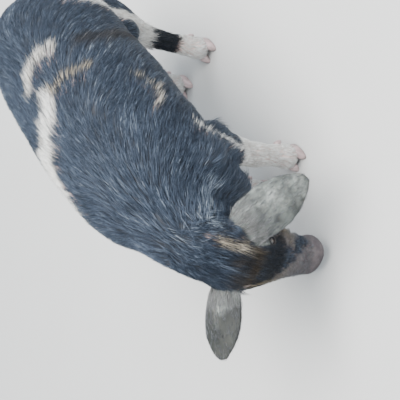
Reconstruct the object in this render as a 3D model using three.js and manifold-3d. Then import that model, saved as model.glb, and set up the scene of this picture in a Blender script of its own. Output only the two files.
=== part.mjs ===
// A young kunekune pig, about three months old, that stands with its snout lowered to the ground.
// Millimetres. +X is forward, +Y is the pig's left and +Z is up. The forms are placed in the pig's own
// frame, with z = 0 under the feet, and the whole is then centred over its origin.

import * as THREE from 'three';
import { mergeVertices } from 'three/addons/utils/BufferGeometryUtils.js';
import Module from 'manifold-3d';

const wasm = await Module();
wasm.setup();

// Driving dimensions
const GAP = 0.3;
const SHORTEST_EDGE = 0.02;
const COAT = 4;
const LIMB_COAT = 2;
const BACK_HEIGHT = 286;
const BELLY_HEIGHT = 118;
const TRUNK_HALF_WIDTH = 91;
const CHEST_X = 176;
const RUMP_X = -220;
const HEAD_Y = -20;
const EYE_RADIUS = 7.5;
const EAR_WIDTH = 60;
const EAR_THICKNESS = 4;
const FORE_FOOT = { x: 98, y: 33 };
const HIND_FOOT = { x: -127, y: 33 };
const CLAW = { length: 23, heel: 0.35, width: 14, height: 18, spread: 8 };
const KNEE_Z = 62;
const HOCK_Z = 106;
const DEWCLAW = { length: 12, radius: 4.2, height: 25, spread: 8 };
const TRUNK_SIDES = 24;
const HEAD_SIDES = 18;
const LIMB_SIDES = 12;

const FURS = {
  black: { color: 0x3a3f49, roughness: 0.8 },
  white: { color: 0xd6cabb, roughness: 0.85 },
  ear: { color: 0x6e7272, roughness: 0.8 },
  skin: { color: 0xb39a97, roughness: 0.55 },
  claw: { color: 0xb98f8a, roughness: 0.45 },
  eye: { color: 0x1b1310, roughness: 0.12 },
};

const SIDES = [['left', 1], ['right', -1]];

const point = (x, y, z) => new THREE.Vector3(x, y, z);

function material(name) {
  const { color, roughness } = FURS[name];
  return new THREE.MeshStandardMaterial({ name, color, roughness, metalness: 0 });
}

// Solids

function solidOf(geometry) {
  const bare = geometry.clone();
  bare.deleteAttribute('normal');
  bare.deleteAttribute('uv');
  const merged = mergeVertices(bare, 1e-4);
  const triVerts = Uint32Array.from(merged.index.array);
  const vertProperties = Float32Array.from(merged.attributes.position.array);
  const result = new wasm.Manifold(new wasm.Mesh({ numProp: 3, vertProperties, triVerts }));
  if (result.volume() > 0) {
    return result;
  }
  const turned = triVerts.map((_, i) => triVerts[i - (i % 3) + (2 - (i % 3))]);
  return new wasm.Manifold(new wasm.Mesh({ numProp: 3, vertProperties, triVerts: turned }));
}

function largest(solid) {
  return solid.decompose().sort((a, b) => b.volume() - a.volume())[0];
}

function meshOf(name, solid, fur) {
  const { vertProperties, triVerts } = largest(solid.simplify(SHORTEST_EDGE)).getMesh();
  const geometry = new THREE.BufferGeometry();
  geometry.setAttribute('position', new THREE.Float32BufferAttribute(vertProperties, 3));
  geometry.setIndex(Array.from(triVerts));
  const mesh = new THREE.Mesh(geometry, material(fur));
  mesh.name = name;
  return mesh;
}

const pig = new THREE.Group();
pig.name = 'kunekune_pig';
const taken = [];

// Each piece is made by a function of how far it is grown. It gives way to the pieces placed before it.
function place(name, fur, make, trim = (solid) => solid) {
  const solid = taken.reduce((rest, cut) => rest.subtract(cut), trim(make(0)));
  taken.push(make(GAP));
  pig.add(meshOf(name, solid, fur));
}

// A closed body through rings that have as many points each. A ring of one point is a tip.
function bodyOf(rings) {
  const points = rings.flat();
  const index = [];
  const starts = [];
  rings.reduce((start, ring) => {
    starts.push(start);
    return start + ring.length;
  }, 0);
  for (let r = 0; r < rings.length - 1; r += 1) {
    const [low, high] = [rings[r].length, rings[r + 1].length];
    for (let i = 0; i < Math.max(low, high); i += 1) {
      const j = i + 1;
      const [a, b] = [starts[r] + (i % low), starts[r] + (j % low)];
      const [c, d] = [starts[r + 1] + (j % high), starts[r + 1] + (i % high)];
      if (a !== b) {
        index.push(a, b, c);
      }
      if (c !== d) {
        index.push(a, c, d);
      }
    }
  }
  const close = (ring, start, turn) => {
    if (ring.length < 3) {
      return;
    }
    const middle = ring.reduce((sum, p) => sum.add(p), point(0, 0, 0)).divideScalar(ring.length);
    points.push(middle);
    ring.forEach((_, i) => {
      const pair = [start + i, start + ((i + 1) % ring.length)];
      index.push(points.length - 1, pair[turn ? 1 : 0], pair[turn ? 0 : 1]);
    });
  };
  close(rings[0], starts[0], true);
  close(rings.at(-1), starts.at(-1), false);
  const geometry = new THREE.BufferGeometry();
  geometry.setAttribute('position', new THREE.Float32BufferAttribute(points.flatMap((p) => p.toArray()), 3));
  geometry.setIndex(index);
  return solidOf(geometry);
}

// A form is a surface around an axis. Each station has a centre x, y, z, the half width to each side,
// and the reach above the axis (or in front of it) and below it (or behind), out to the coat's tips.
// depth is the coat's, so the surface lies that far inside.
class Form {
  constructor(stations, { side = point(0, 1, 0), fullness = 2.2, depth = 0, shape = (p) => p } = {}) {
    this.depth = depth;
    this.axis = new THREE.CatmullRomCurve3(stations.map((s) => point(s[0], s[1], s[2])));
    this.reach = new THREE.CatmullRomCurve3(stations.map((s) => point(s[3], s[4], s[5])));
    this.side = side;
    this.power = 2 / fullness;
    this.shape = shape;
  }

  frame(t) {
    const along = this.axis.getTangent(t);
    const across = this.side.clone().addScaledVector(along, -this.side.dot(along)).normalize();
    return { along, across, up: along.clone().cross(across) };
  }

  at(t, angle, height = 0, shift = 0) {
    const { along, across, up } = this.frame(t);
    const reach = this.reach.getPoint(t).subScalar(this.depth);
    const bend = (value) => Math.sign(value) * Math.abs(value) ** this.power;
    const [c, s] = [bend(Math.cos(angle)), bend(Math.sin(angle))];
    const rise = s > 0 ? reach.y : reach.z;
    const place = this.axis.getPoint(t);
    place.addScaledVector(across, c * (reach.x + height));
    place.addScaledVector(up, s * (rise + height));
    place.addScaledVector(along, shift);
    return this.shape(place, c);
  }

  solid(sides, steps, grow = 0) {
    const rings = [];
    for (let i = 0; i <= steps; i += 1) {
      const t = i / steps;
      const shift = 1.5 * grow * (2 * t - 1);
      const angles = Array.from({ length: sides }, (_, k) => (k / sides) * 2 * Math.PI);
      rings.push(angles.map((angle) => this.at(t, angle, grow, shift)));
    }
    return bodyOf(rings);
  }
}

function bump(value, centre, spread) {
  return Math.exp(-(((value - centre) / spread) ** 2) / 2);
}

// Coat

let seed = 7;
function random(low, high) {
  seed = (seed * 16807) % 2147483647;
  return low + ((high - low) * seed) / 2147483647;
}

// A lock is flat and tapered. Its root is sunk, and it rises along the lie to a free tip.
const LOCK_ROWS = [
  { share: 0, width: 0.6, low: -4, high: -0.3 },
  { share: 0.4, width: 1, low: -2.4, high: 0.55 },
  { share: 0.78, width: 0.66, low: -0.8, high: 0.9 },
];

function lock(form, { t, angle, length, width, turn }, grow) {
  const start = form.axis.getPoint(t);
  const speed = form.axis.getPoint(t + 0.01).distanceTo(start) / 0.01;
  const at = (share, side, height) => {
    const along = THREE.MathUtils.clamp(t + (share * length) / speed, 0, 1);
    const middle = angle + turn * share;
    const radius = form.at(along, middle).distanceTo(form.axis.getPoint(along));
    return form.at(along, middle + side / radius, height);
  };
  const pad = 5 * grow;
  const rings = LOCK_ROWS.map((row) => {
    const share = row.share - (pad / Math.abs(length)) * (row.share === 0);
    const high = row.high * form.depth;
    const edge = row.low + 0.4 * (high - row.low);
    const half = (row.width * width) / 2 + pad;
    return [
      at(share, -half, edge),
      at(share, 0, high + pad),
      at(share, half, edge),
      at(share, 0, row.low - pad),
    ];
  });
  const tip = at(1 + pad / Math.abs(length), 0, form.depth * 0.95);
  return bodyOf([...rings, [tip]]);
}

// Rows of locks from one angle to another, each with its row's own stagger and a small draw of its own.
function coatOf({ rows, from, to, count, length, width, drift = 0, skip = () => false }) {
  return rows.flatMap((t, row) =>
    Array.from({ length: count }, (_, k) => {
      const share = (k + 0.25 + 0.5 * (row % 2) + random(-0.16, 0.16)) / count;
      const angle = from + (to - from) * share;
      const down = -Math.sign(Math.cos(angle)) * drift;
      return {
        t: t + random(-0.008, 0.008),
        angle,
        length: length * random(0.88, 1.15),
        width: width * random(0.85, 1.15),
        turn: down + random(-0.06, 0.06),
      };
    }).filter((spec) => !skip(spec)),
  );
}

function furred(form, sides, steps, coat) {
  return (grow) =>
    wasm.Manifold.union([form.solid(sides, steps, grow), ...coat.map((spec) => lock(form, spec, grow))]);
}

// Trunk

const TRUNK_MIDDLE = (BACK_HEIGHT + BELLY_HEIGHT) / 2;
const TRUNK_RISE = BACK_HEIGHT - TRUNK_MIDDLE;

// The shoulder and the ham stand out from the barrel, and the flank between sinks in.
function swellTrunk(p, c) {
  const shoulder = 7 * bump(p.x, 98, 34) * bump(p.z, 158, 36);
  const haunch = 9 * bump(p.x, -134, 38) * bump(p.z, 172, 42);
  const flank = -6 * bump(p.x, -72, 22) * bump(p.z, 140, 34);
  return p.add(point(0, (shoulder + haunch + flank) * -c, 0));
}

// Each row is a share of the length from chest to rump, then shares of the width, rise and drop.
const trunk = new Form(
  [
    [0, 0.1, 0.1, 0.15],
    [0.025, 0.5, 0.42, 1.05],
    [0.09, 0.72, 0.68, 1.46],
    [0.19, 0.88, 0.9, 1.1],
    [0.32, 0.98, 0.99, 0.95],
    [0.46, 1.03, 1, 0.9],
    [0.6, 1, 1.02, 0.8],
    [0.73, 0.93, 1.04, 0.74],
    [0.84, 0.8, 0.97, 0.72],
    [0.93, 0.62, 0.78, 0.66],
    [0.985, 0.34, 0.45, 0.42],
    [1, 0.06, 0.08, 0.08],
  ].map(([share, width, rise, drop]) => [
    THREE.MathUtils.lerp(CHEST_X, RUMP_X, share),
    HEAD_Y * 0.4 * Math.max(0, 1 - share * 3),
    TRUNK_MIDDLE,
    width * TRUNK_HALF_WIDTH,
    rise * TRUNK_RISE,
    drop * TRUNK_RISE,
  ]),
  { side: point(0, -1, 0), depth: COAT, shape: swellTrunk },
);

// Where along the trunk the axis has reached x.
function trunkAt(x) {
  let [low, high] = [0, 1];
  for (let i = 0; i < 20; i += 1) {
    const middle = (low + high) / 2;
    [low, high] = trunk.axis.getPoint(middle).x > x ? [middle, high] : [low, middle];
  }
  return low;
}

const LOCK_PITCH = 44;
const trunkRows = Array.from({ length: 8 }, (_, row) => trunkAt(CHEST_X - 26 - row * LOCK_PITCH));

// Locks are left off where a leg leaves the trunk, and low on the chest before the foreleg.
function underLeg({ t, angle }) {
  const root = trunk.at(t, angle);
  const fore = root.x > FORE_FOOT.x - 36 && root.z < 176;
  const hind = Math.abs(root.x - HIND_FOOT.x + 12) < 46 && root.z < 188;
  return fore || hind;
}

const trunkCoat = coatOf({
  rows: trunkRows,
  from: -0.85,
  to: Math.PI + 0.85,
  count: 10,
  length: 62,
  width: 46,
  drift: 0.22,
  skip: underLeg,
});

// Neck and head

const neck = new Form([
  [108, -3, 190, 54, 62, 60],
  [146, -8, 186, 55, 60, 66],
  [174, -13, 174, 46, 52, 66],
  [195, -17, 156, 38, 43, 56],
  [208, -19, 134, 32, 30, 38],
], { depth: LIMB_COAT });

const neckCoat = coatOf({
  rows: [0.46, 0.68, 0.9],
  from: -0.3,
  to: Math.PI + 0.3,
  count: 5,
  length: -50,
  width: 38,
});

// The jowls are full, the brows stand over the eyes and the bridge is dished.
function swellHead(p) {
  const side = Math.sign(p.y - HEAD_Y);
  const jowl = 5 * bump(p.z, 92, 16) * bump(p.x, 190, 16);
  const brow = 2.5 * bump(p.z, 122, 9) * bump(p.x, 232, 12);
  return p.add(point(0, side * (jowl + brow), 0));
}

const head = new Form([
  [192, HEAD_Y + 2, 172, 10, 8, 10],
  [197, HEAD_Y + 2, 165, 31, 24, 30],
  [204, HEAD_Y + 1, 143, 40, 34, 44],
  [208, HEAD_Y + 1, 117, 40, 34, 48],
  [211, HEAD_Y, 90, 35, 26, 44],
  [211, HEAD_Y - 2, 65, 29, 20, 32],
  [210, HEAD_Y - 3, 48, 26, 19, 24],
  [208, HEAD_Y - 4, 34, 24.5, 19, 21],
], { depth: LIMB_COAT, shape: swellHead });

const foreheadCoat = coatOf({ rows: [0.13, 0.27], from: 0.85, to: 2.3, count: 3, length: 36, width: 26 });
const cheekCoat = [[-0.75, 0.15], [Math.PI - 0.15, Math.PI + 0.75]].flatMap(([from, to]) =>
  coatOf({ rows: [0.46], from, to, count: 2, length: 34, width: 26 }),
);
const earTuft = coatOf({ rows: [0.16], from: 0.35, to: 0.95, count: 3, length: 30, width: 13 });

const EYE_SHARE = 0.47;
const EYE_ANGLE = 0.42;
const LID = 1.8;
const EYE_SUNK = 0.8 - EYE_RADIUS;

function eyeCentre(side, depth) {
  return head.at(EYE_SHARE, side > 0 ? EYE_ANGLE : Math.PI - EYE_ANGLE, depth);
}

function eyeBall(side, radius) {
  const { x, y, z } = eyeCentre(side, EYE_SUNK);
  return solidOf(new THREE.SphereGeometry(radius, 10, 7).translate(x, y, z));
}

// The slit between the lids is an oval that looks out along the eye.
function eyeSlit(side) {
  const centre = eyeCentre(side, EYE_SUNK);
  const outward = eyeCentre(side, EYE_RADIUS).sub(centre).normalize();
  const oval = new THREE.SphereGeometry(1, 10, 6).scale(3.4, 5.6, 5);
  const turn = new THREE.Quaternion().setFromUnitVectors(point(0, 0, 1), outward);
  const middle = centre.addScaledVector(outward, EYE_RADIUS + 0.5);
  return solidOf(oval.applyQuaternion(turn).translate(middle.x, middle.y, middle.z));
}

// The mouth runs from one cheek round under the snout to the other.
function mouthStrip(rows) {
  const steps = 14;
  const rings = Array.from({ length: steps + 1 }, (_, i) => {
    const s = (i / steps) * 2 - 1;
    const t = 0.955 - 0.27 * Math.abs(s) ** 1.8;
    const angle = -Math.PI / 2 + s * 1.35;
    const [rise, turn] = [0.012 * (1 - Math.abs(s)), 0.07 * s];
    return rows.map(([side, height]) => head.at(t + side * rise, angle + side * turn, height));
  });
  return bodyOf(rings);
}

const lips = mouthStrip([[-1.6, -1.5], [0, 1.9], [1.6, -1.5]]);
const mouth = mouthStrip([[-0.45, 3], [0.45, 3], [0, -2.6]]);

function headSolid(grow) {
  const coat = [...foreheadCoat, ...cheekCoat, ...earTuft];
  const lids = SIDES.map(([, side]) => eyeBall(side, EYE_RADIUS + LID + grow));
  return wasm.Manifold.union([furred(head, HEAD_SIDES, 14, coat)(grow), lips, ...lids]);
}

const openHead = (solid) =>
  SIDES.reduce((rest, [, side]) => rest.subtract(eyeSlit(side)), solid.subtract(mouth));

const snout = new Form([
  [209, HEAD_Y - 4, 42, 12, 10, 11],
  [208, HEAD_Y - 4, 36, 22.5, 17.5, 19],
  [207, HEAD_Y - 4, 29, 23.5, 19, 20],
  [206, HEAD_Y - 4, 22, 25, 20, 21],
  [205, HEAD_Y - 4, 17, 23, 18, 19],
], { fullness: 2.5 });

const NOSTRIL = { spread: 8, forward: 2, width: 3.4, length: 4.6, depth: 8 };

function openSnout(solid) {
  const { spread, forward, width, length, depth } = NOSTRIL;
  const end = snout.axis.getPoint(1);
  return SIDES.reduce((rest, [, side]) => {
    const hole = new THREE.SphereGeometry(1, 8, 6).scale(length, width, depth);
    return rest.subtract(solidOf(hole.translate(end.x + forward, end.y + side * spread, end.z)));
  }, solid);
}

// Legs

function foreleg(y, x, side) {
  const stations = [
    [x + 2, y + 10, 168, 26, 38, 36],
    [x + 4, y + 13, 135, 23, 32, 28],
    [x + 3, y + 10, 108, 18, 24, 20],
    [x + 2, y + 5, 82, 15, 16, 16],
    [x + 2, y + 2, 62, 14.5, 15, 14.5],
    [x, y + 1, 44, 13, 13, 13],
    [x - 1, y, 28, 14, 13.5, 14],
    [x + 1, y, 14, 15.5, 14, 15],
    [x + 1, y, 5, 13.5, 11, 14],
  ];
  return new Form(stations.map(([px, py, ...rest]) => [px, py * side, ...rest]), { depth: LIMB_COAT });
}

function hindleg(y, x, side) {
  const stations = [
    [x - 18, y + 8, 190, 32, 52, 46],
    [x - 18, y + 12, 155, 31, 46, 40],
    [x - 14, y + 10, 128, 24, 32, 28],
    [x - 12, y + 7, 106, 16.5, 18, 18],
    [x - 9, y + 4, 86, 13.5, 13.5, 14.5],
    [x - 6, y + 1, 55, 12.5, 12.5, 13],
    [x - 4, y, 30, 13.5, 13.5, 13.5],
    [x, y, 14, 15, 14, 15],
    [x, y, 5, 13, 11, 13],
  ];
  return new Form(stations.map(([px, py, ...rest]) => [px, py * side, ...rest]), { depth: LIMB_COAT });
}

function claw(x, y, outward, grow = 0) {
  const { length, heel, width, height, spread } = CLAW;
  const middle = y + outward * spread;
  const rows = [
    [0, 0.85, 0.8],
    [0.4, 1, 1],
    [0.75, 0.84, 0.72],
    [0.94, 0.44, 0.4],
    [1, 0.16, 0.14],
  ];
  const rings = rows.map(([share, wide, high]) => {
    const across = (wide * width) / 2 + grow;
    const top = high * height + grow;
    const sunk = -3;
    return Array.from({ length: 8 }, (_, k) => {
      const angle = ((k + 0.5) / 8) * 2 * Math.PI;
      const bend = (value) => Math.sign(value) * Math.abs(value) ** 0.75;
      const rise = (top - sunk) / 2;
      const toe = middle + bend(Math.cos(angle)) * across + outward * share * 1.5;
      return point(x + (share - heel) * length, toe, sunk + rise + bend(Math.sin(angle)) * rise);
    });
  });
  return bodyOf(rings);
}

function dewclaw(x, y, outward, grow = 0) {
  const { length, radius, height, spread } = DEWCLAW;
  const root = point(x - 10, y + outward * spread, height + 4);
  const tip = root.clone().add(point(-length * 0.55, outward * 2, -length * 0.83));
  const along = tip.clone().sub(root).normalize();
  const side = point(0, 1, 0).addScaledVector(along, -along.y).normalize();
  const up = along.clone().cross(side);
  const rings = [[0, 1], [0.5, 0.95], [0.85, 0.55], [1, 0.2]].map(([share, wide]) => {
    const centre = root.clone().lerp(tip, share).addScaledVector(along, grow * (share - 0.5) * 2);
    const reach = radius * wide + grow;
    return Array.from({ length: 6 }, (_, k) => {
      const angle = (k / 6) * 2 * Math.PI;
      return centre
        .clone()
        .addScaledVector(side, Math.cos(angle) * reach)
        .addScaledVector(up, Math.sin(angle) * reach);
    });
  });
  return bodyOf(rings);
}

function box(x0, x1, y0, y1, z0, z1) {
  const geometry = new THREE.BoxGeometry(x1 - x0, y1 - y0, z1 - z0);
  return solidOf(geometry.translate((x0 + x1) / 2, (y0 + y1) / 2, (z0 + z1) / 2));
}

const FAR = 500;
const aboveFloor = (solid) => solid.subtract(box(-FAR, FAR, -FAR, FAR, -FAR, 0));
const above = (z) => (solid) => solid.subtract(box(-FAR, FAR, -FAR, FAR, -FAR, z + GAP));
const below = (z) => (solid) => solid.subtract(box(-FAR, FAR, -FAR, FAR, z, FAR));

// The coat of a leg is drawn on its outer side, where the trunk does not cover it.
function legCoat(side, rows, count, length, width) {
  const [from, to] = side > 0 ? [-1.3, 1.3] : [Math.PI - 1.3, Math.PI + 1.3];
  return coatOf({ rows, from, to, count, length, width });
}

function placeLeg(name, form, x, y, kneeZ, coats) {
  [['inner', -Math.sign(y)], ['outer', Math.sign(y)]].forEach(([where, outward]) => {
    place(`${name}_${where}_claw`, 'claw', (grow) => claw(x, y, outward, grow), aboveFloor);
    place(`${name}_${where}_dewclaw`, 'claw', (grow) => dewclaw(x, y, outward, grow));
  });
  const upper = furred(form, LIMB_SIDES, 10, coats.upper);
  const lower = furred(form, LIMB_SIDES, 10, coats.lower);
  place(`${name}_upper`, 'black', (grow) => above(kneeZ - grow)(upper(grow)));
  place(`${name}_lower`, 'white', (grow) => below(kneeZ + grow)(lower(grow)));
}

// Ears are curved leaves. reach runs from root to tip, and face is the way that the outer side looks.
function ear(root, tip, face, curl, grow = 0) {
  const reach = tip.clone().sub(root);
  const along = reach.clone().normalize();
  const out = face.clone().addScaledVector(along, -face.dot(along)).normalize();
  const across = along.clone().cross(out);
  const rows = 9;
  const columns = 7;
  const rings = [];
  for (let i = 0; i <= rows; i += 1) {
    const share = i / rows;
    const rounding = Math.sqrt(1 - 0.85 * share ** 5);
    const wide = (EAR_WIDTH / 2) * Math.sin(Math.PI * (0.08 + 0.82 * share)) ** 0.6 * rounding;
    const thick = THREE.MathUtils.lerp(EAR_THICKNESS, EAR_THICKNESS * 0.55, share) / 2 + grow;
    const cup = curl * (1 - share * 0.5);
    const outer = [];
    const inner = [];
    for (let k = 0; k <= columns; k += 1) {
      const v = (k / columns) * 2 - 1;
      const rim = Math.sqrt(Math.max(0, 1 - v ** 4));
      const middle = root
        .clone()
        .addScaledVector(reach, share)
        .addScaledVector(across, v * (wide + grow))
        .addScaledVector(out, -cup * v * v * wide + 7 * Math.sin(Math.PI * share));
      outer.push(middle.clone().addScaledVector(out, thick * (0.25 + 0.75 * rim)));
      inner.push(middle.clone().addScaledVector(out, -thick * (0.25 + 0.75 * rim)));
    }
    rings.push([...outer, ...inner.reverse()]);
  }
  return bodyOf(rings);
}

function wattle(side, grow = 0) {
  const y = HEAD_Y + side * 13;
  const form = new Form([
    [178, y, 92, 3, 3, 3],
    [170, y, 84, 4, 4, 4],
    [164, y + side, 72, 4.6, 4.6, 4.6],
    [162, y + side * 2, 60, 6, 6, 6],
    [162, y + side * 2, 52, 4.5, 4.5, 4.5],
  ]);
  return form.solid(8, 6, grow);
}

const tail = new Form(
  [
    [RUMP_X + 14, 0, 230, 11, 11, 11],
    [RUMP_X - 2, 0, 222, 10, 10, 10],
    [RUMP_X - 12, 2, 204, 9, 9, 9],
    [RUMP_X - 15, 5, 182, 9, 9, 9],
    [RUMP_X - 12, 7, 160, 8.5, 8.5, 8.5],
    [RUMP_X - 8, 8, 140, 4, 4, 4],
  ],
  { depth: LIMB_COAT },
);
const tailCoat = coatOf({ rows: [0.52], from: 0, to: 2 * Math.PI, count: 5, length: 38, width: 11 });

place('torso', 'black', furred(trunk, TRUNK_SIDES, 18, trunkCoat));

SIDES.forEach(([name, side]) => {
  place(`eye_${name}`, 'eye', (grow) => eyeBall(side, EYE_RADIUS + grow));
});
place('snout', 'skin', (grow) => snout.solid(16, 5, grow), openSnout);
place('head', 'black', headSolid, openHead);
place('neck', 'black', furred(neck, HEAD_SIDES, 7, neckCoat));
place('ear_left', 'ear', (grow) =>
  ear(point(215, 12, 156), point(204, 87, 88), point(0.75, 0.1, 0.7), 0.42, grow),
);
place('ear_right', 'ear', (grow) =>
  ear(point(214, -46, 141), point(278, -108, 147), point(0.12, 0.05, 1), 0.42, grow),
);
SIDES.forEach(([name, side]) => {
  place(`wattle_${name}`, 'black', (grow) => wattle(side, grow));
});
place('tail', 'black', furred(tail, 8, 9, tailCoat));

SIDES.forEach(([name, side]) => {
  const fore = FORE_FOOT.x + (side > 0 ? 0 : -14);
  const hind = HIND_FOOT.x + (side > 0 ? 0 : -10);
  placeLeg(`${name}_foreleg`, foreleg(FORE_FOOT.y, fore, side), fore, FORE_FOOT.y * side, KNEE_Z, {
    upper: legCoat(side, [0.2], 3, 38, 28),
    lower: [],
  });
  placeLeg(`${name}_hindleg`, hindleg(HIND_FOOT.y, hind, side), hind, HIND_FOOT.y * side, HOCK_Z, {
    upper: legCoat(side, [0.12, 0.26], 3, 44, 32),
    lower: legCoat(side, [0.42], 4, 28, 15),
  });
});

const reach = new THREE.Box3().setFromObject(pig);
const middle = reach.getCenter(point(0, 0, 0));
pig.position.set(-middle.x, -middle.y, -reach.min.z);

export default pig;
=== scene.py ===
import math

import bmesh
import bpy
import numpy as np
from mathutils import Matrix, Vector
from mathutils.bvhtree import BVHTree


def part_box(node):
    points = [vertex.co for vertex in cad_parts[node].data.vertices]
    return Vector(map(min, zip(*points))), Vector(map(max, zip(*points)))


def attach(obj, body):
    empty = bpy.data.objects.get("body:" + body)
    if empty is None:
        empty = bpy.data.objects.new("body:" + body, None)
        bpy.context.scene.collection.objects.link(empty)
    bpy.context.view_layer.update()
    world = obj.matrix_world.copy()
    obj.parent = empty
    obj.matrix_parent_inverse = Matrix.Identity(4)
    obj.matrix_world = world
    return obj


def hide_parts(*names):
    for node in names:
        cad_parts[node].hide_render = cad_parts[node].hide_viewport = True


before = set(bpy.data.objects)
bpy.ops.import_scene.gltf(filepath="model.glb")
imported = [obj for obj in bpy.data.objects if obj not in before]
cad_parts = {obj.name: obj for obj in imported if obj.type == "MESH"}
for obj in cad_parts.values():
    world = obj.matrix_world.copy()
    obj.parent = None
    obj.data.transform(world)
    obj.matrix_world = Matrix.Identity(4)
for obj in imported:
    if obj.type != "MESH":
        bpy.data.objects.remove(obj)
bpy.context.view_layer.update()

# The pig's own frame is in millimetres: x forward, y to its left, z = 0 under the feet.
# The frame's origin is elsewhere, so its place is worked out from two toes.
foreFoot = {"x": 98, "y": 33, "rightX": -14}
hindFoot = {"x": -127, "y": 33, "rightX": -10}
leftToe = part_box("left_foreleg_outer_claw")
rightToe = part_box("right_foreleg_outer_claw")
origin = np.array([
    (leftToe[0].x + leftToe[1].x) / 2 - foreFoot["x"] / 1000,
    (leftToe[1].y + rightToe[0].y) / 2,
    0,
])
sides = {"left": 1, "right": -1}
rng = np.random.default_rng(7)


def toScene(points):
    return np.asarray(points, float) / 1000 + origin


def unit(vectors):
    length = np.linalg.norm(vectors, axis=-1, keepdims=True)
    return vectors / np.maximum(length, 1e-9)


def smooth(values, low, high):
    share = np.clip((values - low) / (high - low), 0, 1)
    return share * share * (3 - 2 * share)


def within(values, rise, fall):
    return smooth(values, *rise) * (1 - smooth(values, *fall))


def bump(values, centre, spread):
    return np.exp(-(((values - centre) / spread) ** 2) / 2)


# A slow wave in space that stands in for noise. It is the same in every run.
def ripple(points, size):
    x, y, z = (points / size).T
    one = np.sin(1.7 * x + 2.3 * np.sin(0.9 * y + 1.3 * z))
    two = np.sin(2.1 * y + 1.9 * np.sin(1.1 * z - 0.7 * x) + 1.0)
    three = np.sin(1.9 * z + 2.1 * np.sin(0.8 * x + 1.2 * y) + 2.0)
    return (one + two + three) / 3


# Noise for the edges of the markings: random heights at whole numbers, joined smoothly.
def noiseAt(points, size, seed):
    p = np.asarray(points, float) / size + 1000.5
    low = np.floor(p).astype(np.int64)
    f = p - low
    f = f * f * (3 - 2 * f)
    total = np.zeros(len(p))
    for corner in np.ndindex(2, 2, 2):
        cell = low + corner
        mixed = (cell @ np.array([73856093, 19349663, 83492791]) + seed * 2654435761) & 0xFFFFFFFF
        mixed = ((mixed ^ (mixed >> 15)) * 2246822519) & 0xFFFFFFFF
        height = ((mixed ^ (mixed >> 13)) & 0xFFFF) / 0xFFFF
        weight = np.prod(np.where(np.array(corner) == 1, f, 1 - f), axis=1)
        total += weight * height
    return total * 2 - 1


# Each wave is a height, a size and a seed.
def noiseSum(points, *waves):
    return sum(height * noiseAt(points, size, seed) for height, size, seed in waves)


def addItem(name, data):
    item = bpy.data.objects.new(name, data)
    bpy.context.scene.collection.objects.link(item)
    return item


# Camera. It looks down on the pig from the front left, and is rolled by a quarter turn.
view = {
    "place": (910.8, 649.7, 910),
    "right": (0.46053, 0.38742, -0.79864),
    "up": (-0.64376, 0.76524, 0),
    "lens": 103.5,
    "sensor": 36,
}


def addCamera():
    data = bpy.data.cameras.new("camera")
    data.lens = view["lens"]
    data.sensor_width = view["sensor"]
    item = addItem("camera", data)
    right, up = Vector(view["right"]), Vector(view["up"])
    turn = Matrix((right, up, right.cross(up))).transposed()
    item.matrix_world = Matrix.Translation(toScene(view["place"])) @ turn.to_4x4()
    bpy.context.scene.camera = item


addCamera()
print("camera placed")


# Forms. Each row is a place on the axis x, y, z, then the half width to each side, the reach above the
# axis (or in front of it) and the reach below it (or behind). The rows are joined by a smooth curve.
class Form:
    def __init__(self, rows, side=(0, 1, 0), fullness=2.2, depth=0.0, swell=None):
        self.rows = np.array(rows, float)
        self.side = np.array(side, float)
        self.power = 2 / fullness
        self.depth = depth
        self.swell = swell
        self.samples = np.array([self.row(t) for t in np.linspace(0, 1, 41)])

    def row(self, t):
        last = len(self.rows) - 1
        i = min(int(t * last), last - 1)
        f = t * last - i
        b, c = self.rows[i], self.rows[i + 1]
        a = self.rows[i - 1] if i > 0 else 2 * b - c
        d = self.rows[i + 2] if i + 2 <= last else 2 * c - b
        bend = (2 * a - 5 * b + 4 * c - d) * f**2
        twist = (3 * b - a - 3 * c + d) * f**3
        return (2 * b + (c - a) * f + bend + twist) / 2

    def axes(self, t):
        step = 0.004
        along = unit(self.row(min(1, t + step))[:3] - self.row(max(0, t - step))[:3])
        across = unit(self.side - along * (self.side @ along))
        return along, across, np.cross(along, across)

    def at(self, t, angle, height=0.0):
        along, across, up = self.axes(t)
        row = self.row(t)
        reach = row[3:] - self.depth + height
        c, s = (math.copysign(abs(v) ** self.power, v) for v in (math.cos(angle), math.sin(angle)))
        place = row[:3] + across * c * reach[0] + up * s * (reach[1] if s > 0 else reach[2])
        return self.swell(place, c) if self.swell else place

    # How far out each point is, where 1 is the form's own surface, and how far along it is.
    def nearness(self, points):
        best = np.full(len(points), 1e9)
        share = np.zeros(len(points))
        for i, row in enumerate(self.samples):
            t = i / (len(self.samples) - 1)
            along, across, up = self.axes(t)
            off = points - row[:3]
            x, y, z = off @ across, off @ up, off @ along
            reach = row[3:] - self.depth
            depth = np.where(y > 0, reach[1], reach[2])
            out = np.sqrt((x / max(reach[0], 2)) ** 2 + (y / np.maximum(depth, 2)) ** 2)
            out = np.sqrt(out**2 + (z / np.maximum(4, 0.3 * reach[0])) ** 2 * 0.5)
            closer = out < best
            best[closer] = out[closer]
            share[closer] = t
        return best, share


def newMesh(name, bm):
    mesh = bpy.data.meshes.new(name)
    bm.to_mesh(mesh)
    bm.free()
    return mesh


def addPiece(name, mesh, material, body="root"):
    item = addItem(name, mesh)
    mesh.materials.append(material)
    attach(item, body)
    return item


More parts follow.
